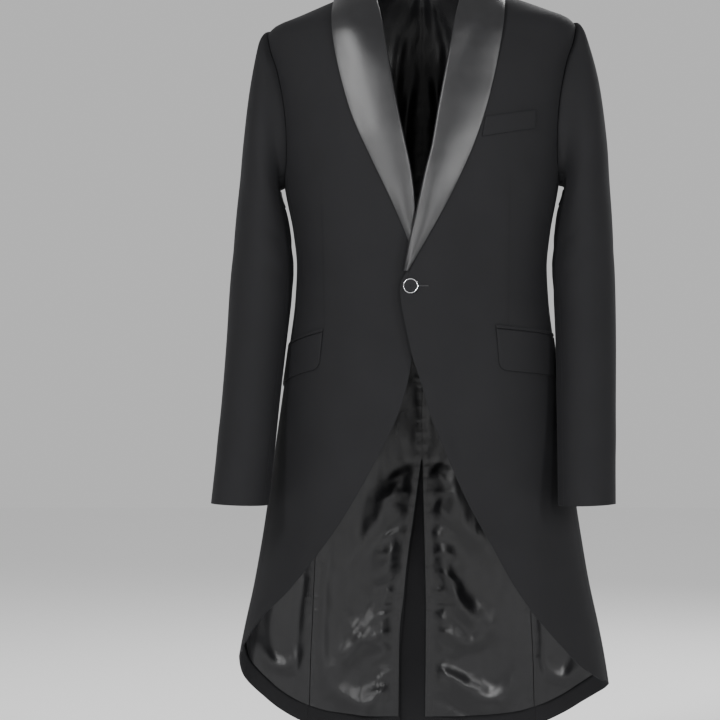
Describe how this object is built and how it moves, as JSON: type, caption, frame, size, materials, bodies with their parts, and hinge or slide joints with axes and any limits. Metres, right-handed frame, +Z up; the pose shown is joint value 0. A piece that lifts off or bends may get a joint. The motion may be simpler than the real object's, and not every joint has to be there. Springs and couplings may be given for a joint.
{
  "type": "tailcoat with satin shawl collar",
  "caption": "Black wool tailcoat, filled out as worn, with a satin shawl collar, a cutaway front closed by a ringed button, flap pockets, satin lining and a centre back vent.",
  "frame": {"origin": "midpoint between the two neck points, where the wearer's shoulders hold the coat up", "axes": "+Z up from hem to collar, -Y to the front of the coat, +X to the wearer's left"},
  "size_m": [0.594, 0.3242, 1.1866],
  "materials": {
    "wool": "matte fine twill",
    "satin": "satin sheen",
    "lining": "glossy satin",
    "button_cloth": "matte",
    "chrome": "polished"
  },
  "bodies": {
    "root": {"back_left": "wool", "back_right": "wool", "breast_welt": "wool", "button": "button_cloth", "button_ring": "chrome", "front_left": "wool", "front_right": "wool", "lining_back_left": "lining", "lining_back_right": "lining", "lining_side_left": "lining", "lining_side_right": "lining", "pocket_flap_left": "wool", "pocket_flap_right": "wool", "pocket_jet_left": "wool", "pocket_jet_right": "wool", "shawl_collar_left": "satin", "shawl_collar_right": "satin", "side_left": "wool", "side_right": "wool", "top_sleeve_left": "wool", "top_sleeve_right": "wool", "under_sleeve_left": "wool", "under_sleeve_right": "wool"}
  },
  "joints": []
}
